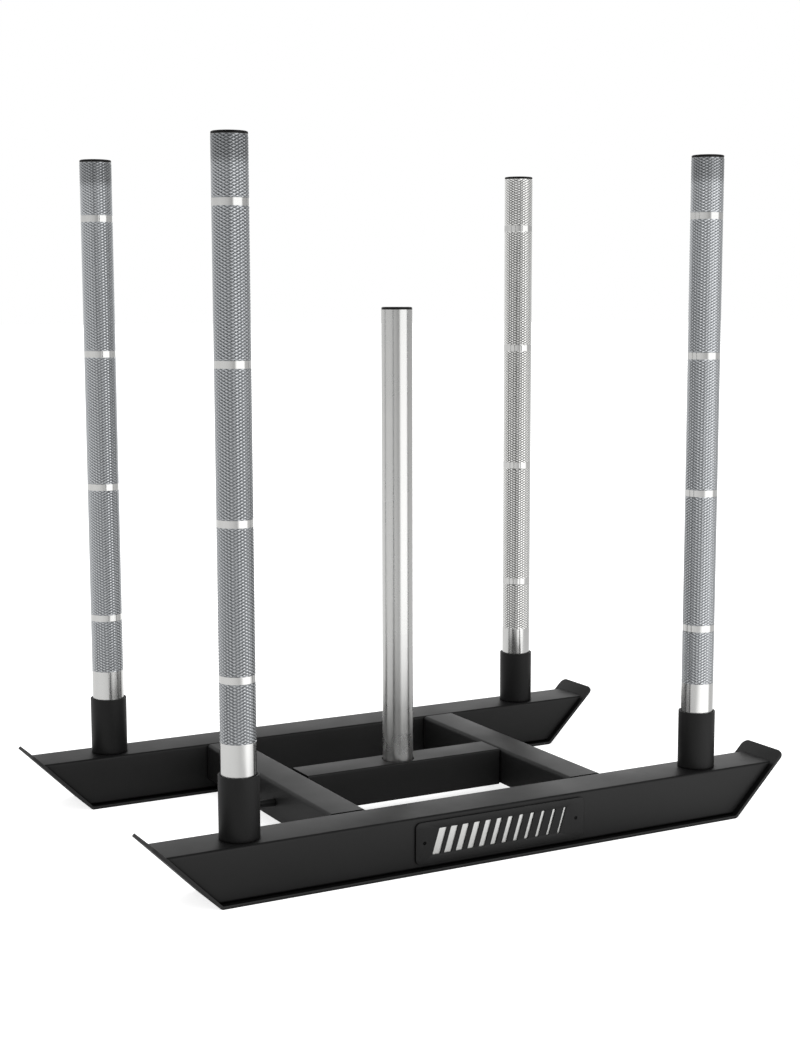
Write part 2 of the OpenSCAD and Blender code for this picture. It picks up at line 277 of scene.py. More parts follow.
# %% [markdown]
# ## Chrome
#
# The poles and the post are drawn steel tube, ground and then hard-chromed. Chrome mirrors
# its surroundings slightly dimmed, and handling leaves faint dull clouds on it. The belt
# grinds fine rings round the tube, far too fine for the picture. What they do to a
# reflection is drawn instead: an anisotropic shine, about a tangent that runs round the
# axis and is turned by a quarter, smears it along the tube and keeps it sharp across.
#
# Where the pole is knurled, the rolled faces are duller than the smooth rings, and the
# grooves between them are painted darker still, as painted shade in their hollows with some
# dirt. The mesh says where that is, in its "groove" value.
# The last centimetres below the cap are darker.
#
# So a knurled finish is told four things: the tone of the rolled faces, the tone of the
# grooves, from which share of the depth on a groove is dark, and from which height on the
# pole it is darker. The poles get lighter and darker copies of one finish as painted light,
# for how the light falls on each: two of the poles are a little lighter than the front left
# one, and the rear right one is much paler, with finer dark lines; its darkening starts
# above its top, so it has none.

# %% Chrome
FLAT_DULL = 0.15
CHROME_CLOUD = 40 * MM
DARKER_TOP_FROM = 985 * MM
DARKER_TOP_FADE = 16 * MM
DARKER_TOP_LEFT = 0.63
ABOVE_ALL = 2
GROOVE_ROUGHER = 0.08
SMEAR = 0.85
QUARTER_TURN = 0.25
RING_CHROME = ("#babab9", "#c6c6c4")


def chrome(name, bright, roughness, knurl=None):
    material, tree = new_material(name)
    coords = add(tree, "TexCoord").outputs["Object"]
    cloud = add(tree, "TexNoise", {
        "Vector": coords, "Scale": 1 / CHROME_CLOUD, "Detail": 4,
    }).outputs["Fac"]
    dim, clear = linear(bright[0]), linear(bright[1])
    colour = add(tree, "Mix", {0: cloud, 6: dim, 7: clear}, data_type="RGBA").outputs[2]
    gloss = add(tree, "MapRange", {
        "Value": cloud, "From Min": 0.35, "From Max": 0.7,
        "To Min": roughness - 0.02, "To Max": roughness + 0.03,
    }).outputs["Result"]
    if knurl:
        face, groove, groove_shade_from, darker_from = knurl
        depth = add(tree, "Attribute", attribute_name="groove").outputs["Fac"]
        rolled = add(tree, "MapRange", {
            "Value": depth, "From Min": 0.0, "From Max": FLAT_DULL,
        }).outputs["Result"]
        face, groove = linear(face), linear(groove)
        colour = add(tree, "Mix", {0: rolled, 6: colour, 7: face}, data_type="RGBA").outputs[2]
        # Painted shade with some dirt: the deep parts of the grooves are darkened towards the
        # groove tone.
        low = add(tree, "MapRange", {
            "Value": depth, "From Min": groove_shade_from, "From Max": 1.0,
        }).outputs["Result"]
        colour = add(tree, "Mix", {0: low, 6: colour, 7: groove}, data_type="RGBA").outputs[2]
        # The colour is darker over the last centimetres below the cap.
        height = add(tree, "SeparateXYZ", {"Vector": coords}).outputs["Z"]
        darker_top = add(tree, "MapRange", {
            "Value": height, "From Min": darker_from, "From Max": darker_from + DARKER_TOP_FADE,
            "To Min": 1.0, "To Max": DARKER_TOP_LEFT,
        }, interpolation_type="SMOOTHSTEP").outputs["Result"]
        colour = add(tree, "VectorMath", {
            0: colour, "Scale": darker_top,
        }, operation="SCALE").outputs["Vector"]
        rise = add(tree, "Math", {
            0: depth, 1: GROOVE_ROUGHER,
        }, operation="MULTIPLY").outputs["Value"]
        gloss = add(tree, "Math", {0: gloss, 1: rise}, operation="ADD").outputs["Value"]
    axis = add(tree, "Tangent", direction_type="RADIAL", axis="Z").outputs["Tangent"]
    shader = add(tree, "BsdfPrincipled", {
        "Base Color": colour, "Metallic": 1.0, "Roughness": gloss,
        "Tangent": axis, "Anisotropic": SMEAR, "Anisotropic Rotation": QUARTER_TURN,
    })
    add(tree, "OutputMaterial", {"Surface": shader.outputs["BSDF"]})
    return material


post_chrome = chrome("hard_chromed_ground_tube", ("#babab9", "#c8c8c6"), 0.28)
# Painted light: the poles get lighter and darker copies of one knurled chrome, for how the light
# falls on each.
knurl_chrome = chrome(
    "hard_chromed_knurled_tube", RING_CHROME, 0.18, ("#b2b4b6", "#8a8d90", 0.15, DARKER_TOP_FROM),
)
lit_knurl_chrome = chrome(
    "hard_chromed_lit_knurled_tube", RING_CHROME, 0.18, ("#bcbec0", "#9b9ea1", 0.15, DARKER_TOP_FROM),
)
paler_painted_light_knurl_chrome = chrome(
    "hard_chromed_paler_painted_light_knurled_tube", RING_CHROME, 0.12, ("#e8e8e6", "#7a7a7a", 0.65, ABOVE_ALL),
)
POLE_FINISH = {
    "front_left": knurl_chrome, "front_right": lit_knurl_chrome,
    "rear_left": lit_knurl_chrome, "rear_right": paler_painted_light_knurl_chrome,
}
print("chromes", post_chrome.name, [finish.name for finish in POLE_FINISH.values()])

# %% [markdown]
# ## Plastic, bare steel and rivets
#
# The end plugs are moulded polyethylene: black, slightly waxy, with a fine spark-eroded
# grain from the mould. The sheet behind the nameplate's slots is stainless, brushed along
# its length, so its scratches run along X, fifty times as long as they are wide. The rivets
# are blackened steel.

# %% Plastic, bare steel and rivets
PLASTIC_CLOUD = 12 * MM
SPARK_GRAIN = 0.8 * MM
SCRATCH = 0.4 * MM
SCRATCH_STRETCH = 50
SMALL_DEPTH = 0.05 * MM
WAXY = 0.14


def moulded_plastic(name, tone, roughness):
    material, tree = new_material(name)
    coords = add(tree, "TexCoord").outputs["Object"]
    cloud = add(tree, "TexNoise", {
        "Vector": coords, "Scale": 1 / PLASTIC_CLOUD, "Detail": 3,
    }).outputs["Fac"]
    dark, light = linear(tone[0]), linear(tone[1])
    colour = add(tree, "Mix", {0: cloud, 6: dark, 7: light}, data_type="RGBA").outputs[2]
    gloss = add(tree, "MapRange", {
        "Value": cloud, "From Min": 0.3, "From Max": 0.7,
        "To Min": roughness, "To Max": roughness + 0.1,
    }).outputs["Result"]
    sparks = add(tree, "TexNoise", {
        "Vector": coords, "Scale": 1 / SPARK_GRAIN, "Detail": 2,
    }).outputs["Fac"]
    bump = add(tree, "Bump", {"Height": sparks, "Strength": 0.2, "Distance": SMALL_DEPTH})
    shader = add(tree, "BsdfPrincipled", {
        "Base Color": colour, "Roughness": gloss, "Normal": bump.outputs["Normal"],
        "Specular IOR Level": WAXY,
    })
    add(tree, "OutputMaterial", {"Surface": shader.outputs["BSDF"]})
    return material


def brushed_stainless(name, tone):
    material, tree = new_material(name)
    coords = add(tree, "TexCoord").outputs["Object"]
    along = add(tree, "Mapping", {"Vector": coords, "Scale": (1 / SCRATCH_STRETCH, 1, 1)})
    scratches = add(tree, "TexNoise", {
        "Vector": along.outputs["Vector"], "Scale": 1 / SCRATCH, "Detail": 4,
    }).outputs["Fac"]
    dark, light = linear(tone[0]), linear(tone[1])
    colour = add(tree, "Mix", {0: scratches, 6: dark, 7: light}, data_type="RGBA").outputs[2]
    gloss = add(tree, "MapRange", {
        "Value": scratches, "From Min": 0.3, "From Max": 0.7, "To Min": 0.28, "To Max": 0.42,
    }).outputs["Result"]
    bump = add(tree, "Bump", {"Height": scratches, "Strength": 0.15, "Distance": SMALL_DEPTH})
    shader = add(tree, "BsdfPrincipled", {
        "Base Color": colour, "Metallic": 1.0, "Roughness": gloss,
        "Normal": bump.outputs["Normal"],
    })
    add(tree, "OutputMaterial", {"Surface": shader.outputs["BSDF"]})
    return material


plug_plastic = moulded_plastic("moulded_polyethylene_plug", ("#0e0e0e", "#151515"), 0.45)
rivet_black = moulded_plastic("blackened_steel_rivet", ("#151515", "#1b1b1b"), 0.4)
stainless = brushed_stainless("brushed_stainless_sheet", ("#c9c9c7", "#d6d6d4"))
print("small finishes", plug_plastic.name, rivet_black.name, stainless.name)

# %% [markdown]
# ## Turning a mesh into a piece
#
# Every piece is built in a `bmesh` and finished in the same way. Its faces are turned to
# point outwards, its soft curves are shaded smooth and its sharp edges kept, it rides on the
# body of the solid it stands for, that solid is hidden, and it gets its finishes. `soften`
# rounds the edges that are sharper than an angle, as deburring or a mould does. `TINY` is a
# micrometre, and points that are closer than that count as one.

# %% Helpers for pieces
TINY = 1e-6
SMOOTH_ANGLE = math.radians(32)
BODIES = frame["record"]["behaviour"]["bodies"]
BODY_OF = {node: body for body, nodes in BODIES.items() for node in nodes}


def make_piece(name, bm, node, *finishes):
    bmesh.ops.recalc_face_normals(bm, faces=bm.faces)
    mesh = bpy.data.meshes.new(name)
    bm.to_mesh(mesh)
    bm.free()
    mesh.shade_smooth()
    mesh.set_sharp_from_angle(angle=SMOOTH_ANGLE)
    for finish in finishes:
        mesh.materials.append(finish)
    piece = bpy.data.objects.new(name, mesh)
    bpy.context.scene.collection.objects.link(piece)
    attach(piece, BODY_OF[node])
    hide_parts(node)
    print(name, len(mesh.polygons), "faces")


def soften(bm, width, segments=2, sharper=math.radians(40)):
    edges = [e for e in bm.edges if e.is_manifold and e.calc_face_angle(0) > sharper]
    bmesh.ops.bevel(
        bm, geom=edges, offset=width, offset_type="OFFSET", segments=segments,
        profile=0.5, affect="EDGES", clamp_overlap=True, material=-1,
    )


def move(bm, verts, place):
    bmesh.ops.translate(bm, verts=verts, vec=place)


# %% [markdown]
# ## Box sections
#
# The runners, the cross members and the centre beam are square tube, rolled and welded at
# the mill, so their long edges are round. A cube is stretched to the outside size and its
# four long edges are bevelled to the mill's radius; its ends are taken off, which leaves a
# sleeve. A smaller sleeve is the inside. It is made first, so that its faces can be turned
# round, because the bridge between the two follows the way that they face. Where an end
# isn't square, both sleeves are sliced with a plane. The rims are then bridged, as a saw
# leaves them.

# %% Box sections
TUBE_WALL = 3 * MM
INNER_EDGE = 1 * MM
EDGE_STEPS = 6


def sleeve(bm, length, width, height, edge_r):
    made = bmesh.ops.create_cube(bm, size=1)["verts"]
    bmesh.ops.scale(bm, verts=made, vec=(length, width, height))
    ends = [f for f in {f for v in made for f in v.link_faces} if abs(f.normal.x) > 0.9]
    bmesh.ops.delete(bm, geom=ends, context="FACES_ONLY")
    long_edges = [e for e in {e for v in made for e in v.link_edges} if len(e.link_faces) == 2]
    bmesh.ops.bevel(
        bm, geom=long_edges, offset=edge_r, offset_type="OFFSET", segments=EDGE_STEPS,
        profile=0.5, affect="EDGES", clamp_overlap=True, material=-1,
    )


def box_section(length, width, height, edge_r):
    bm = bmesh.new()
    inner = max(edge_r - TUBE_WALL, INNER_EDGE)
    sleeve(bm, length, width - 2 * TUBE_WALL, height - 2 * TUBE_WALL, inner)
    bmesh.ops.reverse_faces(bm, faces=bm.faces)
    sleeve(bm, length, width, height, edge_r)
    return bm


def cut(bm, point, outward):
    bmesh.ops.bisect_plane(
        bm, geom=bm.verts[:] + bm.edges[:] + bm.faces[:], dist=TINY / 10,
        plane_co=point, plane_no=outward, clear_outer=True,
    )


def close_rims(bm):
    for sign in (-1, 1):
        rim = [e for e in bm.edges if e.is_boundary and e.verts[0].co.x * sign > 0]
        bmesh.ops.bridge_loops(bm, edges=rim)


# %% [markdown]
# ## Cross members
#
# Two of these tubes tie the runners together. They butt against the runners' sides. The
# outer edge of each sawn end is bevelled first, so that the weld has room to sit in; it is
# ground flush later. The bevel's faces get the second of the piece's finishes, painted
# nearly black as the shade in the joint, so that they show as a fine dark line.

# %% Cross members
CROSS_EDGE = 6 * MM
WELD_BEVEL = 2 * MM


def close_bevelled(bm):
    bm.normal_update()
    rims = [e for e in bm.edges if e.is_boundary]
    outside = [e for e in rims if e.link_faces[0].normal.dot(e.verts[0].co) > 0]
    close_rims(bm)
    bmesh.ops.bevel(
        bm, geom=outside, offset=WELD_BEVEL, offset_type="OFFSET", segments=1,
        profile=0.5, affect="EDGES", clamp_overlap=True, material=1,
    )


for name in ("front_cross_member", "rear_cross_member"):
    width, length, height = size(name)
    bm = box_section(length, width, height, CROSS_EDGE)
    close_bevelled(bm)
    bmesh.ops.rotate(bm, verts=bm.verts, matrix=Matrix.Rotation(math.pi / 2, 3, "Z"))
    move(bm, bm.verts, middle(name))
    make_piece(name + "_tube", bm, name, frame_coat, seam_shade_coat)

# %% [markdown]
# ## Runners
#
# The two long tubes lie on the skid plates. Their ends are sawn at the slope of the bent-up
# ends, so that the plates' inner faces close them. The lowest corner of each end is ground
# off where it would foul the inside of the bend.

# %% Runners
RUNNER_EDGE = 4 * MM
NOSE_ANGLE = math.radians(45)
BEND_RELIEF = 1.55 * MM
SAW_WASTE = 10 * MM
for side in SIDES:
    name = side + "_runner"
    low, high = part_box(name)
    length, width, height = high - low
    bm = box_section(length + SAW_WASTE, width, height, RUNNER_EDGE)
    move(bm, bm.verts, (low + high) / 2)
    for end in (-1, 1):
        slope = Vector((end * math.sin(NOSE_ANGLE), 0, -math.cos(NOSE_ANGLE)))
        tip = Vector((end * high.x, 0, high.z))
        cut(bm, tip, slope)
        corner = tip + Vector((-end * height / math.tan(NOSE_ANGLE), 0, -height))
        steep = Vector((end * math.sin(NOSE_ANGLE / 2), 0, -math.cos(NOSE_ANGLE / 2)))
        cut(bm, corner + Vector((-end * BEND_RELIEF, 0, 0)), steep)
    close_rims(bm)
    make_piece(name + "_tube", bm, name, frame_coat)

# %% [markdown]
# ## Centre beam
#
# The beam is the same kind of tube, with a hole through its top wall for the weight post.
# The flat of the top wall is taken out of both sleeves, a ring of points is drawn where the
# hole goes, and the flat is filled again between the ring and its border. Bridging the two
# rings gives the hole its wall. The hole is as wide as the flat, so the ring is turned by
# half a step and no point of it lies on the border.

# %% Centre beam
BEAM_EDGE = 3 * MM
POST_HOLE = 26 * MM
HOLE_STEPS = 64
HALF_A_STEP = Matrix.Rotation(math.pi / HOLE_STEPS, 4, "Z")
length, width, height = size("centre_beam")
bm = box_section(length, width, height, BEAM_EDGE)
rings = []
level = [f for f in bm.faces if abs(f.normal.z) > 0.999]
flats = [f for f in level if f.calc_center_median().z > height / 4]
for flat in flats:
    outward = flat.normal.copy()
    place = Matrix.Translation((0, 0, flat.calc_center_median().z)) @ HALF_A_STEP
    border = list(flat.edges)
    bmesh.ops.delete(bm, geom=[flat], context="FACES_ONLY")
    ring = bmesh.ops.create_circle(
        bm, cap_ends=False, segments=HOLE_STEPS, radius=POST_HOLE, matrix=place,
    )["verts"]
    edges = list({e for v in ring for e in v.link_edges})
    bmesh.ops.triangle_fill(bm, use_beauty=True, edges=border + edges, normal=outward)
    rings += edges
bmesh.ops.bridge_loops(bm, edges=rings)
close_bevelled(bm)
move(bm, bm.verts, middle("centre_beam"))
make_piece("centre_beam_tube", bm, "centre_beam", frame_coat, seam_shade_coat)

# %% [markdown]
# ## Skid plates
#
# Each skid is one strip of plate with both ends bent up in a press brake. Half of it is
# drawn the way the brake makes it: the strip's cross-section is pushed out along the floor,
# spun through the bend, and pushed on up the slope. The tip's corners are rounded, the
# half is mirrored, and every edge is broken by a hair, as a sheared plate is deburred.

# %% Skid plates
BEND_INNER = 3 * MM
BEND_STEPS = 8
TIP_CORNER = 12 * MM
TIP_STEPS = 10
BROKEN_EDGE = 0.7 * MM
SKID_THICKNESS = 5 * MM
NOSE_LENGTH = 133 * MM
SOLE_LENGTH = 2 * (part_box("left_skid")[1].x - NOSE_LENGTH * math.cos(NOSE_ANGLE))
print("sole", round(SOLE_LENGTH / MM, 1), "mm")


def push(bm, faces, along):
    made = bmesh.ops.extrude_face_region(bm, geom=faces)["geom"]
    bmesh.ops.delete(bm, geom=faces, context="FACES_ONLY")
    moved = [g for g in made if isinstance(g, bmesh.types.BMVert)]
    move(bm, moved, along)
    return [g for g in made if isinstance(g, bmesh.types.BMFace)]


def half_skid(width):
    bend_outer = BEND_INNER + SKID_THICKNESS
    turn = bend_outer * math.tan(NOSE_ANGLE / 2)
    rise = Vector((math.cos(NOSE_ANGLE), 0, math.sin(NOSE_ANGLE)))
    flat = SOLE_LENGTH / 2 - turn
    bm = bmesh.new()
    bmesh.ops.create_grid(bm, x_segments=1, y_segments=1, size=0.5)
    bmesh.ops.scale(bm, verts=bm.verts, vec=(SKID_THICKNESS, width, 1))
    bmesh.ops.rotate(bm, verts=bm.verts, matrix=Matrix.Rotation(math.pi / 2, 3, "Y"))
    move(bm, bm.verts, (0, 0, SKID_THICKNESS / 2))
    tip = push(bm, bm.faces[:], Vector((flat, 0, 0)))
    bent = bmesh.ops.spin(
        bm, geom=tip + [v for f in tip for v in f.verts] + [e for f in tip for e in f.edges],
        cent=(flat, 0, bend_outer), axis=(0, -1, 0), angle=NOSE_ANGLE, steps=BEND_STEPS,
        use_duplicate=False,
    )["geom_last"]
    tip = [g for g in bent if isinstance(g, bmesh.types.BMFace)]
    tip = push(bm, tip, rise * (NOSE_LENGTH - turn))
    corners = [e for f in tip for e in f.edges if abs((e.verts[0].co - e.verts[1].co).y) < TINY]
    bmesh.ops.bevel(
        bm, geom=corners, offset=TIP_CORNER, offset_type="OFFSET", segments=TIP_STEPS,
        profile=0.5, affect="EDGES", clamp_overlap=True, material=-1,
    )
    return bm


for side in SIDES:
    name = side + "_skid"
    bm = half_skid(size(name).y)
    bmesh.ops.mirror(bm, geom=bm.verts[:] + bm.edges[:] + bm.faces[:], axis="X", merge_dist=TINY)
    seam = [f for f in bm.faces if all(abs(v.co.x) < TINY for v in f.verts)]
    bmesh.ops.delete(bm, geom=seam, context="FACES_ONLY")
    bmesh.ops.remove_doubles(bm, verts=bm.verts, dist=TINY)
    bmesh.ops.recalc_face_normals(bm, faces=bm.faces)
    soften(bm, BROKEN_EDGE)
    move(bm, bm.verts, (0, middle(name).y, 0))
    make_piece(name + "_plate", bm, name, skid_coat)

# %% [markdown]
# ## Turned parts
#
# Sockets, plugs and the weight post are round about their own axis. Each is one outline of
# points, spun once round. The spin closes on itself, points on the axis are merged, and the
# sharp circles get a small rounding where the real part has one.

# %% Spinning an outline
ROUND_STEPS = 96


def spun(outline, steps=ROUND_STEPS):
    bm = bmesh.new()
    verts = [bm.verts.new((r, 0, z)) for r, z in outline]
    edges = [bm.edges.new((a, b)) for a, b in zip(verts, verts[1:] + verts[:1])]
    bmesh.ops.spin(
        bm, geom=verts + edges, cent=(0, 0, 0), axis=UP, angle=2 * math.pi,
        steps=steps, use_merge=True, use_duplicate=False,
    )
    bmesh.ops.remove_doubles(bm, verts=bm.verts, dist=TINY)
    loose = [e for e in bm.edges if not e.link_faces]
    bmesh.ops.delete(bm, geom=loose, context="EDGES")
    bmesh.ops.recalc_face_normals(bm, faces=bm.faces)
    return bm


# %% [markdown]
# ## Sockets
#
# A socket is a short length of tube welded upright on the runner. Its rim is turned round
# inside and out, so that a pole drops in easily; that rounding catches a thin line of light.

# %% Sockets
SOCKET_WALL = 3 * MM
RIM_ROUND = 0.4 * MM
for corner in CORNERS:
    name = corner + "_socket"
    low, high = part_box(name)
    outer = (high.x - low.x) / 2
    height = high.z - low.z
    inner = outer - SOCKET_WALL
    bm = spun([(outer, 0), (outer, height), (inner, height), (inner, 0)])
    soften(bm, RIM_ROUND, segments=4)
    move(bm, bm.verts, (middle(name).x, middle(name).y, low.z))
    make_piece(name + "_tube", bm, name, socket_coat)

# %% [markdown]
# ## Weight post
#
# The post is smooth tube. Below the deck its foot is turned down by half a millimetre, where
# it passes through the beam and over the spigot on the beam's floor.

# %% Weight post and its spigot
POST_WALL = 3 * MM
POST_STEPS = 128
POST_RIM = 0.4 * MM
FOOT_TURN = 0.5 * MM
SPIGOT_WALL = 3 * MM
SPIGOT_RIM = 0.8 * MM
low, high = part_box("weight_post")
outer = (high.x - low.x) / 2
bm = spun([
    (outer - FOOT_TURN, low.z), (outer - FOOT_TURN, deck_z - FOOT_TURN), (outer, deck_z),
    (outer, high.z), (outer - POST_WALL, high.z), (outer - POST_WALL, low.z),
], steps=POST_STEPS)
soften(bm, POST_RIM)
make_piece("weight_post_tube", bm, "weight_post", post_chrome)

low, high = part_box("post_spigot")
outer = (high.x - low.x) / 2
inner = outer - SPIGOT_WALL
bm = spun([(outer, low.z), (outer, high.z), (inner, high.z), (inner, low.z)])
soften(bm, SPIGOT_RIM)
make_piece("post_spigot_ring", bm, "post_spigot", frame_coat)

# %% [markdown]
# ## End plugs
#
# A plug is a cap on a hollow, ribbed spigot that is pressed into the tube. The cap's edge is
# moulded round and its top is slightly domed.

# %% End plugs
PLUG_WALL = 2 * MM
RIB_HEIGHT = 1 * MM
RIB_LENGTH = 2 * MM
RIBS = 3
CAP_EDGE = 1.5 * MM
CAP_STEPS = 6
GRIP_GAP = 0.05 * MM


def plug_outline(cap_r, grip_r, low, seat, top, dome):
    core = grip_r - RIB_HEIGHT
    pitch = (seat - low) / (RIBS + 1)
    outline = [(0, seat), (core - PLUG_WALL, seat), (core - PLUG_WALL, low), (core, low)]
    for rib in range(RIBS):
        start = low + (rib + 1) * pitch - RIB_LENGTH / 2
        stop = start + RIB_LENGTH
        outline += [(core, start), (grip_r, start), (grip_r, stop), (core, stop)]
    outline += [(core, seat), (cap_r, seat)]
    for step in range(CAP_STEPS + 1):
        angle = step / CAP_STEPS * math.pi / 2
        r = cap_r - dome * (1 - math.cos(angle))
        outline.append((r, top - CAP_EDGE * (1 - math.sin(angle))))
    return outline + [(0, top)]


def make_plug(name, tube, wall, dome):
    low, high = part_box(name)
    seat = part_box(tube)[1].z
    cap_r = size(name).x / 2
    grip_r = size(tube).x / 2 - wall - GRIP_GAP
    bm = spun(plug_outline(cap_r, grip_r, low.z, seat, high.z, dome))
    move(bm, bm.verts, (middle(name).x, middle(name).y, 0))
    make_piece(name + "_cap", bm, name, plug_plastic)


POLE_WALL = 2.5 * MM
POLE_DOME = 2 * MM
POST_DOME = 4.5 * MM
for corner in CORNERS:
    make_plug(corner + "_pole_plug", corner + "_pole", POLE_WALL, POLE_DOME)
make_plug("weight_post_plug", "weight_post", POST_WALL, POST_DOME)

# %% [markdown]
# ## Knurled push poles
#
# A knurl is rolled into the tube by two toothed wheels, which press two sets of slanting
# grooves that cross. What stands between the grooves is a field of small four-sided
# pyramids with flat tops. On this pole there are 17 of them round, each 9.2 mm wide and
# 4.45 mm high, every other row shifted by half a width.
#
# That pattern is cut into an open cylinder of 34 columns: upright edges are divided into
# rows, every second point is joined to its neighbours across the corner, which draws the
# grooves, and the points in between are bevelled into the flat tops, which reach 40 percent
# of the way to the next points. Then the groove points are pushed in by the depth of the
# knurl. A vertex value, "groove", remembers how deep each point lies, so that the material
# can leave the grooves darker.
#
# The cylinder's first point lies on the Y axis, so the columns counted from the X axis end
# in a half. A quarter is taken off before rounding, and all of them round the same way.

# %% The knurl's sizes
COLUMNS = 34
ROW = 2.225 * MM
KNURL_DEPTH = 0.8 * MM
GROOVE_END = 0.15 * MM
TOP_CHAMFER = 1.2 * MM
FOOT_CHAMFER = 0.6 * MM
FLAT_TOP = 40
A_QUARTER = 0.25
POLE_R = size("front_left_pole").x / 2
RING_MIDDLES = [z * MM for z in (305, 517, 728.5, 940)]
RING_HALF = 5.2 * MM
KNURL_LOW, KNURL_HIGH = 217 * MM, 1026.5 * MM
stops = [KNURL_LOW] + [z + s * RING_HALF for z in RING_MIDDLES for s in (-1, 1)] + [KNURL_HIGH]
BANDS = list(zip(stops[0::2], stops[1::2]))
print("knurled bands", [(round(a / MM, 1), round(b / MM, 1)) for a, b in BANDS])

# %% One knurled band


def set_radius(v, radius):
    share = radius / v.co.xy.length
    v.co.x *= share
    v.co.y *= share


def knurled_band(bm, groove, start, end):
    rows = round((end - start) / ROW)
    pitch = (end - start) / rows
    made = bmesh.ops.create_cone(
        bm, cap_ends=False, segments=COLUMNS, radius1=POLE_R, radius2=POLE_R,
        depth=end - start, matrix=Matrix.Translation((0, 0, (start + end) / 2)),
    )["verts"]
    edges = {e for v in made for e in v.link_edges}
    upright = [e for e in edges if abs(e.verts[0].co.z - e.verts[1].co.z) > ROW]
    bmesh.ops.subdivide_edges(bm, edges=upright, cuts=rows - 1)

    def column(v):
        return round(math.atan2(v.co.y, v.co.x) / (2 * math.pi / COLUMNS) - A_QUARTER)

    def row(v):
        return round((v.co.z - start) / pitch)

    band = [v for v in bm.verts if start - TINY < v.co.z < end + TINY]
    low = [v for v in band if (column(v) + row(v)) % 2]
    tops = [v for v in band if (column(v) + row(v)) % 2 == 0 and 0 < row(v) < rows]
    bmesh.ops.connect_verts(bm, verts=low)
    flats = bmesh.ops.bevel(
        bm, geom=tops, offset=FLAT_TOP, offset_type="PERCENT", segments=1,
        profile=0.5, affect="VERTICES", clamp_overlap=True, material=-1,
    )["verts"]
    for v in flats:
        v[groove] = FLAT_DULL
    for v in low:
        v[groove] = 1.0
        set_radius(v, POLE_R - KNURL_DEPTH)


# %% [markdown]
# The smooth rings between the bands, the plain foot and the bore are drawn last. The stops
# are the borders of the bands, in pairs of a lower and an upper one. The open borders are
# pulled out of the knurl by a hair, back to the full radius, and divided once more, so that
# the smooth parts are rounder than the knurl needs. Each is then pulled along the pole to
# meet the next one. The chamfer, the rim and the bore go on from the uppermost border and
# the foot from the lowest, and where they meet, points in the same place are merged.

# %% The whole pole


def border(bm, z):
    rims = [e for e in bm.edges if e.is_boundary]
    return [e for e in rims if all(abs(v.co.z - z) < 10 * TINY for v in e.verts)]


def pull(bm, edges, dz=0.0, radius=None):
    made = bmesh.ops.extrude_edge_only(bm, edges=edges)["geom"]
    verts = [g for g in made if isinstance(g, bmesh.types.BMVert)]
    for v in verts:
        v.co.z += dz
        if radius:
            set_radius(v, radius)
    return [g for g in made if isinstance(g, bmesh.types.BMEdge)]


def knurled_pole(foot, top):
    bm = bmesh.new()
    groove = bm.verts.layers.float.new("groove")
    for start, end in BANDS:
        knurled_band(bm, groove, start, end)
    for i, z in enumerate(stops):
        step = -GROOVE_END if i % 2 == 0 else GROOVE_END
        edges = pull(bm, border(bm, z), step, POLE_R)
        for v in {v for e in edges for v in e.verts}:
            v[groove] = 0.0
        bmesh.ops.subdivide_edges(bm, edges=edges, cuts=1)
        for v in {v for e in border(bm, z + step) for v in e.verts}:
            set_radius(v, POLE_R)
    for lower, upper in zip(stops[1::2], stops[2::2]):
        pull(bm, border(bm, lower + GROOVE_END), upper - lower - 2 * GROOVE_END)
    last = stops[-1] + GROOVE_END
    edges = pull(bm, border(bm, last), top - last - TOP_CHAMFER)
    edges = pull(bm, edges, TOP_CHAMFER, POLE_R - TOP_CHAMFER)
    edges = pull(bm, edges, 0, POLE_R - POLE_WALL)
    edges = pull(bm, edges, foot - top)
    bmesh.ops.remove_doubles(bm, verts=bm.verts, dist=2 * TINY)
    first = stops[0] - GROOVE_END
    edges = pull(bm, border(bm, first), foot + FOOT_CHAMFER - first)
    edges = pull(bm, edges, -FOOT_CHAMFER, POLE_R - FOOT_CHAMFER)
    edges = pull(bm, edges, 0, POLE_R - POLE_WALL)
    bmesh.ops.remove_doubles(bm, verts=bm.verts, dist=2 * TINY)
    return bm


for corner in CORNERS:
    name = corner + "_pole"
    low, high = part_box(name)
    bm = knurled_pole(low.z, high.z)
    open_edges = sum(1 for e in bm.edges if e.is_boundary)
    move(bm, bm.verts, (middle(name).x, middle(name).y, 0))
    make_piece(name + "_tube", bm, name, POLE_FINISH[corner])
    print("open edges", open_edges, "height", round((high.z - low.z) / MM, 1))

# %% [markdown]
# ## Tow eye
#
# A 12 mm bar is bent twice and welded to the front cross member. A disc is the bar's end; it
# is pushed out along the first leg, spun through the first bend, pushed across, spun through
# the second bend and pushed back.

# %% Tow eye
BAR_R = 6 * MM
BAR_STEPS = 32
EYE_BEND = 20 * MM
EYE_STEPS = 12
low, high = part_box("tow_eye")
reach = high.x - low.x - BAR_R
spread = high.y - low.y - 2 * BAR_R
bm = bmesh.new()
bmesh.ops.create_circle(bm, cap_ends=True, segments=BAR_STEPS, radius=BAR_R)
bmesh.ops.rotate(bm, verts=bm.verts, matrix=Matrix.Rotation(math.pi / 2, 3, "Y"))
move(bm, bm.verts, (high.x, -spread / 2, middle("tow_eye").z))
start_cap = bm.faces[:][0]


def go_on(bm, edges, along):
    made = bmesh.ops.extrude_edge_only(bm, edges=edges)["geom"]
    move(bm, [g for g in made if isinstance(g, bmesh.types.BMVert)], along)
    return [g for g in made if isinstance(g, bmesh.types.BMEdge)]


def turn_on(bm, edges, centre):
    verts = list({v for e in edges for v in e.verts})
    made = bmesh.ops.spin(
        bm, geom=verts + edges, cent=centre, axis=(0, 0, -1), angle=math.pi / 2,
        steps=EYE_STEPS, use_duplicate=False,
    )["geom_last"]
    return [g for g in made if isinstance(g, bmesh.types.BMEdge)]


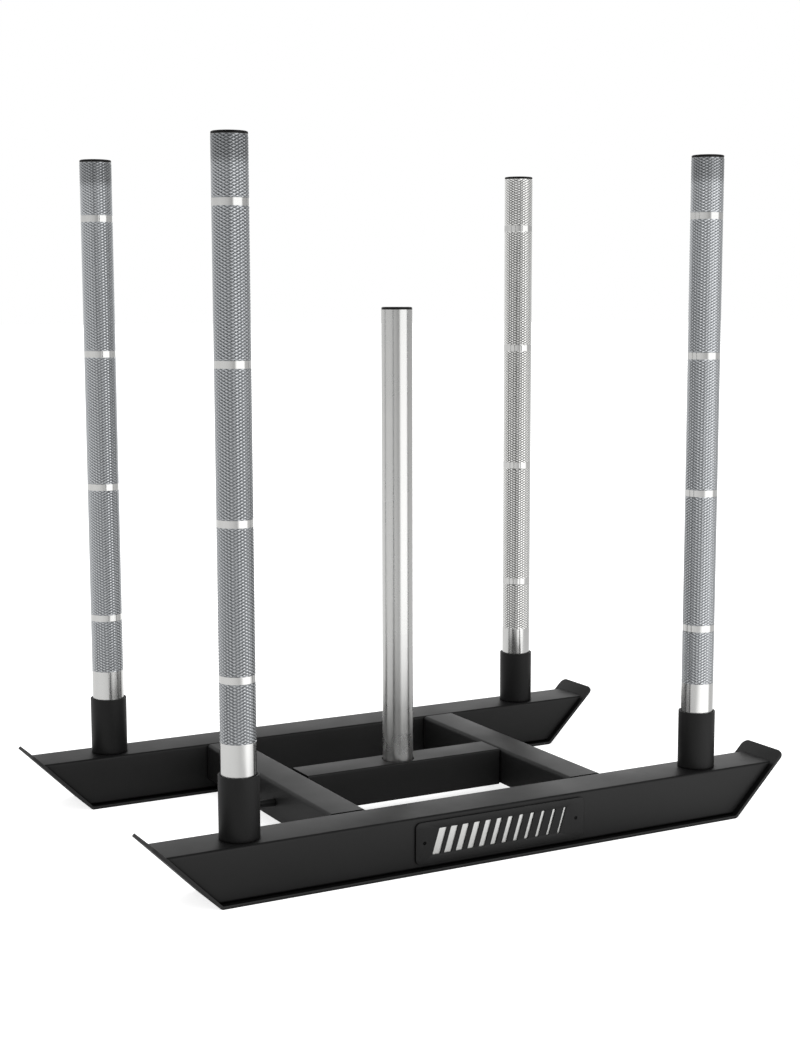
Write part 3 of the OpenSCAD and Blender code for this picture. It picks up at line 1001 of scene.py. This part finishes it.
leg = reach - EYE_BEND
z = middle("tow_eye").z
edges = go_on(bm, list(start_cap.edges), (-leg, 0, 0))
edges = turn_on(bm, edges, (high.x - leg, -spread / 2 + EYE_BEND, z))
edges = go_on(bm, edges, (0, spread - 2 * EYE_BEND, 0))
edges = turn_on(bm, edges, (high.x - leg, spread / 2 - EYE_BEND, z))
edges = go_on(bm, edges, (leg, 0, 0))
bmesh.ops.contextual_create(bm, geom=edges)
make_piece("tow_eye_bar", bm, "tow_eye", frame_coat)

# %% [markdown]
# ## Nameplates
#
# The nameplate is a laser-cut plate on each runner's outer side. Its row of leaning slots
# gets narrower from one end to the other, and shows the bright sheet behind it. The
# outline and the slots are drawn flat, their corners rounded, and the plate is filled in
# between them before it gets its thickness. The right one is the mirror image, so that its
# slots get narrower towards the same end of the sled.

# %% Nameplates
PLATE_CORNER = 8 * MM
CORNER_STEPS = 6
PLATE_THICKNESS = 2 * MM
PLATE_EDGE = 0.3 * MM
SLOTS = 12
SLOT_PITCH = 19 * MM
SLOT_WIDTH = 13 * MM
SLOT_STEP = 0.75 * MM
SLOT_HEIGHT = 38 * MM
SLOT_LEAN = 12 * MM
SLOT_CORNER = 1 * MM


def flat_shape(bm, width, height, x, lean, corner):
    made = bmesh.ops.create_grid(bm, x_segments=1, y_segments=1, size=0.5)["verts"]
    bmesh.ops.scale(bm, verts=made, vec=(width, height, 1))
    for v in made:
        v.co.x += x + lean * v.co.y / height
    bmesh.ops.bevel(
        bm, geom=made, offset=corner, offset_type="OFFSET", segments=CORNER_STEPS,
        profile=0.5, affect="VERTICES", clamp_overlap=True, material=-1,
    )


def nameplate(length, height):
    bm = bmesh.new()
    flat_shape(bm, length, height, 0, 0, PLATE_CORNER)
    for i in range(SLOTS):
        x = (i - (SLOTS - 1) / 2) * SLOT_PITCH
        flat_shape(bm, SLOT_WIDTH - i * SLOT_STEP, SLOT_HEIGHT, x, SLOT_LEAN, SLOT_CORNER)
    edges = bm.edges[:]
    bmesh.ops.delete(bm, geom=bm.faces[:], context="FACES_ONLY")
    bmesh.ops.triangle_fill(bm, use_beauty=True, edges=edges)
    made = bmesh.ops.extrude_face_region(bm, geom=bm.faces[:])["geom"]
    move(bm, [g for g in made if isinstance(g, bmesh.types.BMVert)], (0, 0, PLATE_THICKNESS))
    bmesh.ops.recalc_face_normals(bm, faces=bm.faces)
    soften(bm, PLATE_EDGE, sharper=math.radians(60))
    return bm


for side, sign in SIDES.items():
    name = side + "_nameplate"
    low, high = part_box(name)
    bm = nameplate(high.x - low.x, high.z - low.z)
    bmesh.ops.rotate(bm, verts=bm.verts, matrix=Matrix.Rotation(math.pi / 2, 3, "X"))
    if sign > 0:
        bmesh.ops.scale(bm, verts=bm.verts, vec=(1, -1, 1))
    inner_face = high.y if sign < 0 else low.y
    move(bm, bm.verts, (middle(name).x, inner_face, middle(name).z))
    make_piece(name + "_plate", bm, name, plate_coat)

# %% [markdown]
# ## Small solids that stay
#
# The backing sheets and the rivets already have the right shape as solids. They keep their
# own meshes and only get a finish, in their first material slot.

# %% Finishes for the solids that stay
KEPT = {
    "left_backing_plate": stainless,
    "right_backing_plate": stainless,
    "left_nameplate_rivets": rivet_black,
    "right_nameplate_rivets": rivet_black,
}
for name, material in KEPT.items():
    frame["nodes"][name].data.materials.clear()
    frame["nodes"][name].data.materials.append(material)
    print(name, "is", material.name)

# %% [markdown]
# ## The studio as chrome sees it
#
# Chrome shows whatever stands round it. Going round the studio against the clock, from
# behind the sled, there is a bright wall that the tops of the tubes mirror too, a long pale
# wall on the camera's left, a dull gap beside the camera, a tall soft box on its right and a
# duller wall beyond it, which ends at the bright wall. Above 30 degrees, where the sine is
# one half, the walls end and the ceiling fades into the dark.
#
# A radial gradient gives the direction as a share of a full turn, with the camera at one
# half, and a colour ramp gives how bright the studio is there. A ramp can't hold more than
# one, so it holds shares of the brightest value. It starts with two stops, at its ends,
# and those are used and not added again. All of it is one node group, because the sky and
# the floor both use it.

# %% The studio's brightness by direction
BRIGHTEST = 2.0
CEILING_FROM, CEILING_FULL, CEILING = 0.5, 0.85, 0.03
ROUND_THE_STUDIO = [
    (0.00, 1.10), (0.02, 0.92), (0.06, 0.88), (0.14, 0.92), (0.25, 0.91), (0.33, 0.95),
    (0.40, 0.91), (0.47, 0.80), (0.51, 0.66), (0.535, 0.58), (0.55, 0.60), (0.575, 1.85),
    (0.717, 1.85), (0.738, 0.67), (0.80, 0.65), (0.86, 0.63), (0.92, 0.62), (0.96, 1.60),
    (1.00, 1.40),
]
studio = bpy.data.node_groups.new("studio_brightness", "ShaderNodeTree")
studio.interface.new_socket("Direction", in_out="INPUT", socket_type="NodeSocketVector")
studio.interface.new_socket("Brightness", in_out="OUTPUT", socket_type="NodeSocketFloat")
way_in = studio.nodes.new("NodeGroupInput")
way_out = studio.nodes.new("NodeGroupOutput")
facing_camera = math.atan2(CAMERA_PLACE.y, CAMERA_PLACE.x)
turned = add(studio, "Mapping", {
    "Vector": way_in.outputs["Direction"], "Rotation": (0, 0, -facing_camera),
}).outputs["Vector"]
turn = add(studio, "TexGradient", {"Vector": turned}, gradient_type="RADIAL").outputs["Fac"]
wall = add(studio, "ValToRGB", {"Fac": turn})
stops_round = wall.color_ramp.elements
for place, brightness in ROUND_THE_STUDIO:
    own = [stop for stop in stops_round if stop.position == place]
    stop = own[0] if own else stops_round.new(place)
    share = brightness / BRIGHTEST
    stop.color = (share, share, share, 1)
scaled = add(studio, "Math", {
    0: wall.outputs["Color"], 1: BRIGHTEST,
}, operation="MULTIPLY").outputs["Value"]
level = add(studio, "VectorMath", {
    0: way_in.outputs["Direction"],
}, operation="NORMALIZE").outputs["Vector"]
steepness = add(studio, "SeparateXYZ", {"Vector": level}).outputs["Z"]
ceiling = add(studio, "MapRange", {
    "Value": steepness, "From Min": CEILING_FROM, "From Max": CEILING_FULL,
    "To Min": 1.0, "To Max": CEILING,
}, interpolation_type="SMOOTHSTEP").outputs["Result"]
seen_there = add(studio, "Math", {0: scaled, 1: ceiling}, operation="MULTIPLY").outputs["Value"]
studio.links.new(seen_there, way_out.inputs["Brightness"])
print("the ramp has", len(stops_round), "stops")

# %% [markdown]
# ## Floor and background
#
# The sled stands on a matte white floor under a white sky. The floor is a very large sheet,
# so that it runs to the horizon. Seen straight on it adds three quarters of a white of its
# own, so that it comes out white and the sled's shadow still shows in it.
#
# Mirrored in the chrome, the floor carries on the walls' brightness. Its paint gives about
# half of that already, so only the rest is added, and nothing is added in the sled's own
# shade, which ends between 0.4 and 0.85 m from the middle.

# %% Floor
FLOOR_CLOUDS = 1.5
FLOOR_GLOW = 0.75
PAINT_GIVES = 0.5
SHADE_FROM, SHADE_TO = 0.4, 0.85
FLOOR_HALF = 60


def floor_material():
    material, tree = new_material("matte_white_studio_floor")
    coords = add(tree, "TexCoord").outputs["Object"]
    cloud = add(tree, "TexNoise", {
        "Vector": coords, "Scale": FLOOR_CLOUDS, "Detail": 2,
    }).outputs["Fac"]
    dark, light = linear("#dcdcdc"), linear("#e4e4e4")
    tone = add(tree, "Mix", {0: cloud, 6: dark, 7: light}, data_type="RGBA").outputs[2]
    paint = add(tree, "BsdfPrincipled", {
        "Base Color": tone, "Roughness": 0.9, "Specular IOR Level": 0.0,
    }).outputs["BSDF"]
    path = add(tree, "LightPath").outputs
    room = add(tree, "Group", {"Direction": coords}, node_tree=studio).outputs["Brightness"]
    less = add(tree, "Math", {0: room, 1: PAINT_GIVES}, operation="SUBTRACT").outputs["Value"]
    mirrored = add(tree, "Math", {
        0: path["Is Glossy Ray"], 1: less,
    }, operation="MULTIPLY").outputs["Value"]
    away = add(tree, "VectorMath", {0: coords}, operation="LENGTH").outputs["Value"]
    past = add(tree, "MapRange", {
        "Value": away, "From Min": SHADE_FROM, "From Max": SHADE_TO,
    }).outputs["Result"]
    mirrored = add(tree, "Math", {0: mirrored, 1: past}, operation="MULTIPLY").outputs["Value"]
    through = add(tree, "Math", {
        0: path["Is Camera Ray"], 1: path["Is Transmission Ray"],
    }, operation="MAXIMUM").outputs["Value"]
    seen = add(tree, "Math", {0: through, 1: FLOOR_GLOW}, operation="MULTIPLY").outputs["Value"]
    lift = add(tree, "Math", {0: seen, 1: mirrored}, operation="ADD").outputs["Value"]
    glow = add(tree, "Emission", {"Color": (1, 1, 1, 1), "Strength": lift}).outputs["Emission"]
    both = add(tree, "AddShader", {0: paint, 1: glow}).outputs["Shader"]
    add(tree, "OutputMaterial", {"Surface": both})
    return material


bm = bmesh.new()
bmesh.ops.create_grid(bm, x_segments=1, y_segments=1, size=FLOOR_HALF)
mesh = bpy.data.meshes.new("studio_floor")
bm.to_mesh(mesh)
bm.free()
mesh.materials.append(floor_material())
floor = bpy.data.objects.new("studio_floor", mesh)
bpy.context.scene.collection.objects.link(floor)
print("the floor is", 2 * FLOOR_HALF, "m wide")

# %% [markdown]
# The sky is plain white where it is seen straight on or through something. It lights the
# sled a little less than that, and the chrome sees the studio in it.

# %% Sky
SKY_LIGHT = 0.92
world = bpy.data.worlds.new("studio_sky")
bpy.context.scene.world = world
world.use_nodes = True
tree = world.node_tree
tree.nodes.clear()
path = add(tree, "LightPath").outputs
ray = add(tree, "TexCoord").outputs["Generated"]
room = add(tree, "Group", {"Direction": ray}, node_tree=studio).outputs["Brightness"]
lit = add(tree, "Mix", {0: path["Is Glossy Ray"], 2: SKY_LIGHT, 3: room}).outputs[0]
through = add(tree, "Math", {
    0: path["Is Camera Ray"], 1: path["Is Transmission Ray"],
}, operation="MAXIMUM").outputs["Value"]
strength = add(tree, "Mix", {0: through, 2: lit, 3: 1.0}).outputs[0]
sky = add(tree, "Background", {"Color": (1, 1, 1, 1), "Strength": strength})
add(tree, "OutputWorld", {"Surface": sky.outputs["Background"]})
print("sky lights the sled at", SKY_LIGHT)

# %% [markdown]
# ## Lamp
#
# One large soft box stands 3.4 m off the sled's left side and 1.9 m up, about where the
# chrome shows one, and looks at the frame. It gives the tubes on that side a little more
# light and keeps the shadow under the frame soft. The chrome doesn't see it, because the
# studio's ramp has a soft box already.

# %% Soft box
LAMP_PLACE = (0.4, -3.4, 1.9)
LAMP_AIM = UP * 0.3
LAMP_WATTS = 20
LAMP_WIDTH, LAMP_HEIGHT = 1.6, 2.4
data = bpy.data.lights.new("soft_box", "AREA")
data.shape = "RECTANGLE"
data.size = LAMP_WIDTH
data.size_y = LAMP_HEIGHT
data.energy = LAMP_WATTS
lamp = bpy.data.objects.new("soft_box", data)
lamp.location = LAMP_PLACE
lamp.rotation_euler = (LAMP_AIM - lamp.location).to_track_quat("-Z", "Y").to_euler()
lamp.visible_glossy = False
bpy.context.scene.collection.objects.link(lamp)
